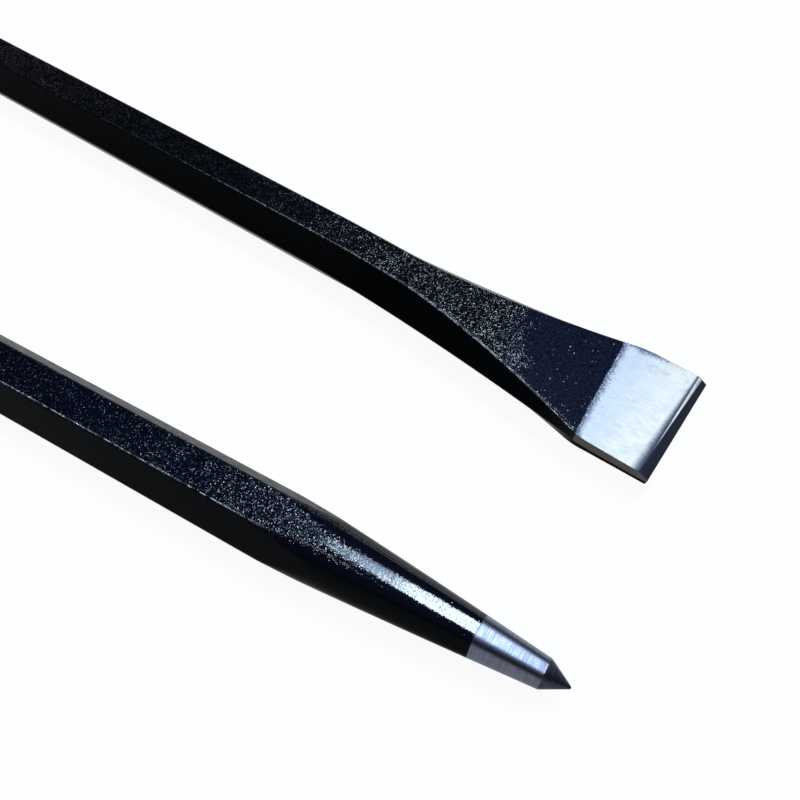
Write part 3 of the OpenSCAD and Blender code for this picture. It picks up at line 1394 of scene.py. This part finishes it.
@dataclass
class Studio:
    """The pale floor, the soft light and the camera."""

    floor_size: float = 40.0
    floor_drop: float = 0.05 * MM
    floor_colour: Colour = (0.92, 0.92, 0.92)
    glow_colour: Colour = (1.0, 1.0, 1.0)
    glow_share: float = 0.94
    wall_height: float = 2.8
    wall_sides: int = 96
    world_colour: Colour = (0.85, 0.92, 1.0)
    world_strength: float = 0.04
    lamp_target: Place = (0.70, 0.0, 0.012)
    lamp_distance: float = 3.0
    lamps: Tuple[SoftBox, ...] = (
        SoftBox("key", (0.03, 0.28, 0.95), (0.48, 1.28), 25.0, (0.82, 0.92, 1.0)),
        SoftBox("shoulder", (-0.085, 0.28, 0.95), (0.36, 1.28), 6.5, (0.62, 0.80, 1.0)),
        SoftBox("halo", (-0.03, 0.24, 0.95), (1.5, 0.90), 6.2, (0.42, 0.66, 1.0)),
        SoftBox("long_box", (-0.42, -0.25, 0.87), (2.0, 0.12), 18.0, (0.82, 0.92, 1.0)),
        SoftBox("rim", (0.557, 0.59, 0.576), (0.50, 0.50), 12.0, (0.82, 0.92, 1.0)),
    )
    camera_height: float = 287.618 * MM
    camera_pitch: float = math.radians(56.131)
    camera_roll: float = math.radians(-1.722)
    camera_turn: float = math.radians(34.628)
    camera_focus: float = 861.195
    camera_offset: Span = (-50.812 * MM, -74.053 * MM)
    camera_nearest: float = 1 * MM
    picture_side: float = 800.0
    sensor: float = 36.0

    def build_floor(self) -> None:
        """A wide pale floor with a far wall round it, which show white to the camera and to gloss."""
        Bench.clear()
        bpy.ops.mesh.primitive_plane_add(size=self.floor_size, location=(0, 0, -self.floor_drop))
        floor = bpy.context.active_object
        bpy.ops.mesh.primitive_cylinder_add(
            vertices=self.wall_sides, radius=self.floor_size / 2, depth=self.wall_height,
            end_fill_type="NOTHING", location=(0, 0, self.wall_height / 2))
        wall = bpy.context.active_object
        sketch = Sketch("studio_floor")
        matt = sketch.node("BsdfDiffuse", {"Color": self.floor_colour})
        glow = sketch.node("Emission", {"Color": self.glow_colour, "Strength": 1.0})
        path = sketch.node("LightPath", {}).outputs
        seen = sketch.most(path["Is Camera Ray"], path["Is Glossy Ray"], path["Is Transmission Ray"])
        pale = sketch.show(sketch.node("MixShader", {
            0: sketch.times(seen, self.glow_share), 1: matt.outputs[0], 2: glow.outputs[0]}))
        for stage, name in ((floor, "studio_floor"), (wall, "studio_wall")):
            stage.name = stage.data.name = name
            stage.data.materials.append(pale)

    def build_light(self) -> None:
        """A dim even world and the soft boxes overhead."""
        world = bpy.data.worlds.new("studio_air")
        bpy.context.scene.world = world
        world.use_nodes = True
        air = world.node_tree.nodes["Background"]
        air.inputs["Color"].default_value = (*self.world_colour, 1.0)
        air.inputs["Strength"].default_value = self.world_strength
        for box in self.lamps:
            box.hang(Vector(self.lamp_target), self.lamp_distance)

    def build_camera(self, tip: Vector) -> None:
        """The camera at the photograph's angle.

        Args:
            tip: Place of the front bar's tip.
        """
        turn = Matrix.Rotation(self.camera_turn, 3, "Z")
        at = tip + turn @ Vector((*self.camera_offset, 0))
        at.z = self.camera_height
        ahead = Vector((0, math.cos(self.camera_pitch), -math.sin(self.camera_pitch)))
        right = Vector((1, 0, 0))
        up = right.cross(ahead)
        roll = self.camera_roll
        rolled_right = math.cos(roll) * right + math.sin(roll) * up
        rolled_up = math.cos(roll) * up - math.sin(roll) * right
        axes = Matrix((turn @ rolled_right, turn @ rolled_up, -(turn @ ahead))).transposed()
        bpy.ops.object.camera_add()
        camera = bpy.context.active_object
        camera.matrix_world = Matrix.Translation(at) @ axes.to_4x4()
        camera.data.sensor_width = self.sensor
        camera.data.lens = self.sensor * self.camera_focus / self.picture_side
        camera.data.clip_start = self.camera_nearest
        bpy.context.scene.camera = camera

    def build(self, tip: Vector) -> None:
        """Sets the studio up round the bars.

        Args:
            tip: Place of the front bar's tip.
        """
        self.build_camera(tip)
        self.build_floor()
        self.build_light()
        bpy.context.scene.view_settings.view_transform = "Standard"


def main() -> None:
    """Builds the zones once, lays both bars, dresses them and sets up the studio."""
    logging.basicConfig(level=logging.INFO)
    stock, pair = HexagonStock(), Pair()
    chisel, point = ChiselEnd(stock), PointEnd(stock)
    patterns = {Zone.SHANK: stock.build_shank(chisel.length, point.start)}
    patterns.update(chisel.build())
    patterns.update(point.build())
    for place in pair.places(stock.length):
        bar = Bar(place, patterns)
        bar.lay()
        bar.dress()
        for piece in bar.pieces.values():
            log.info("%s: %d faces", piece.name, len(piece.data.polygons))
    for pattern in patterns.values():
        bpy.data.objects.remove(pattern)
    Studio().build(Vector(pair.tip))


if __name__ == "__main__":
    main()
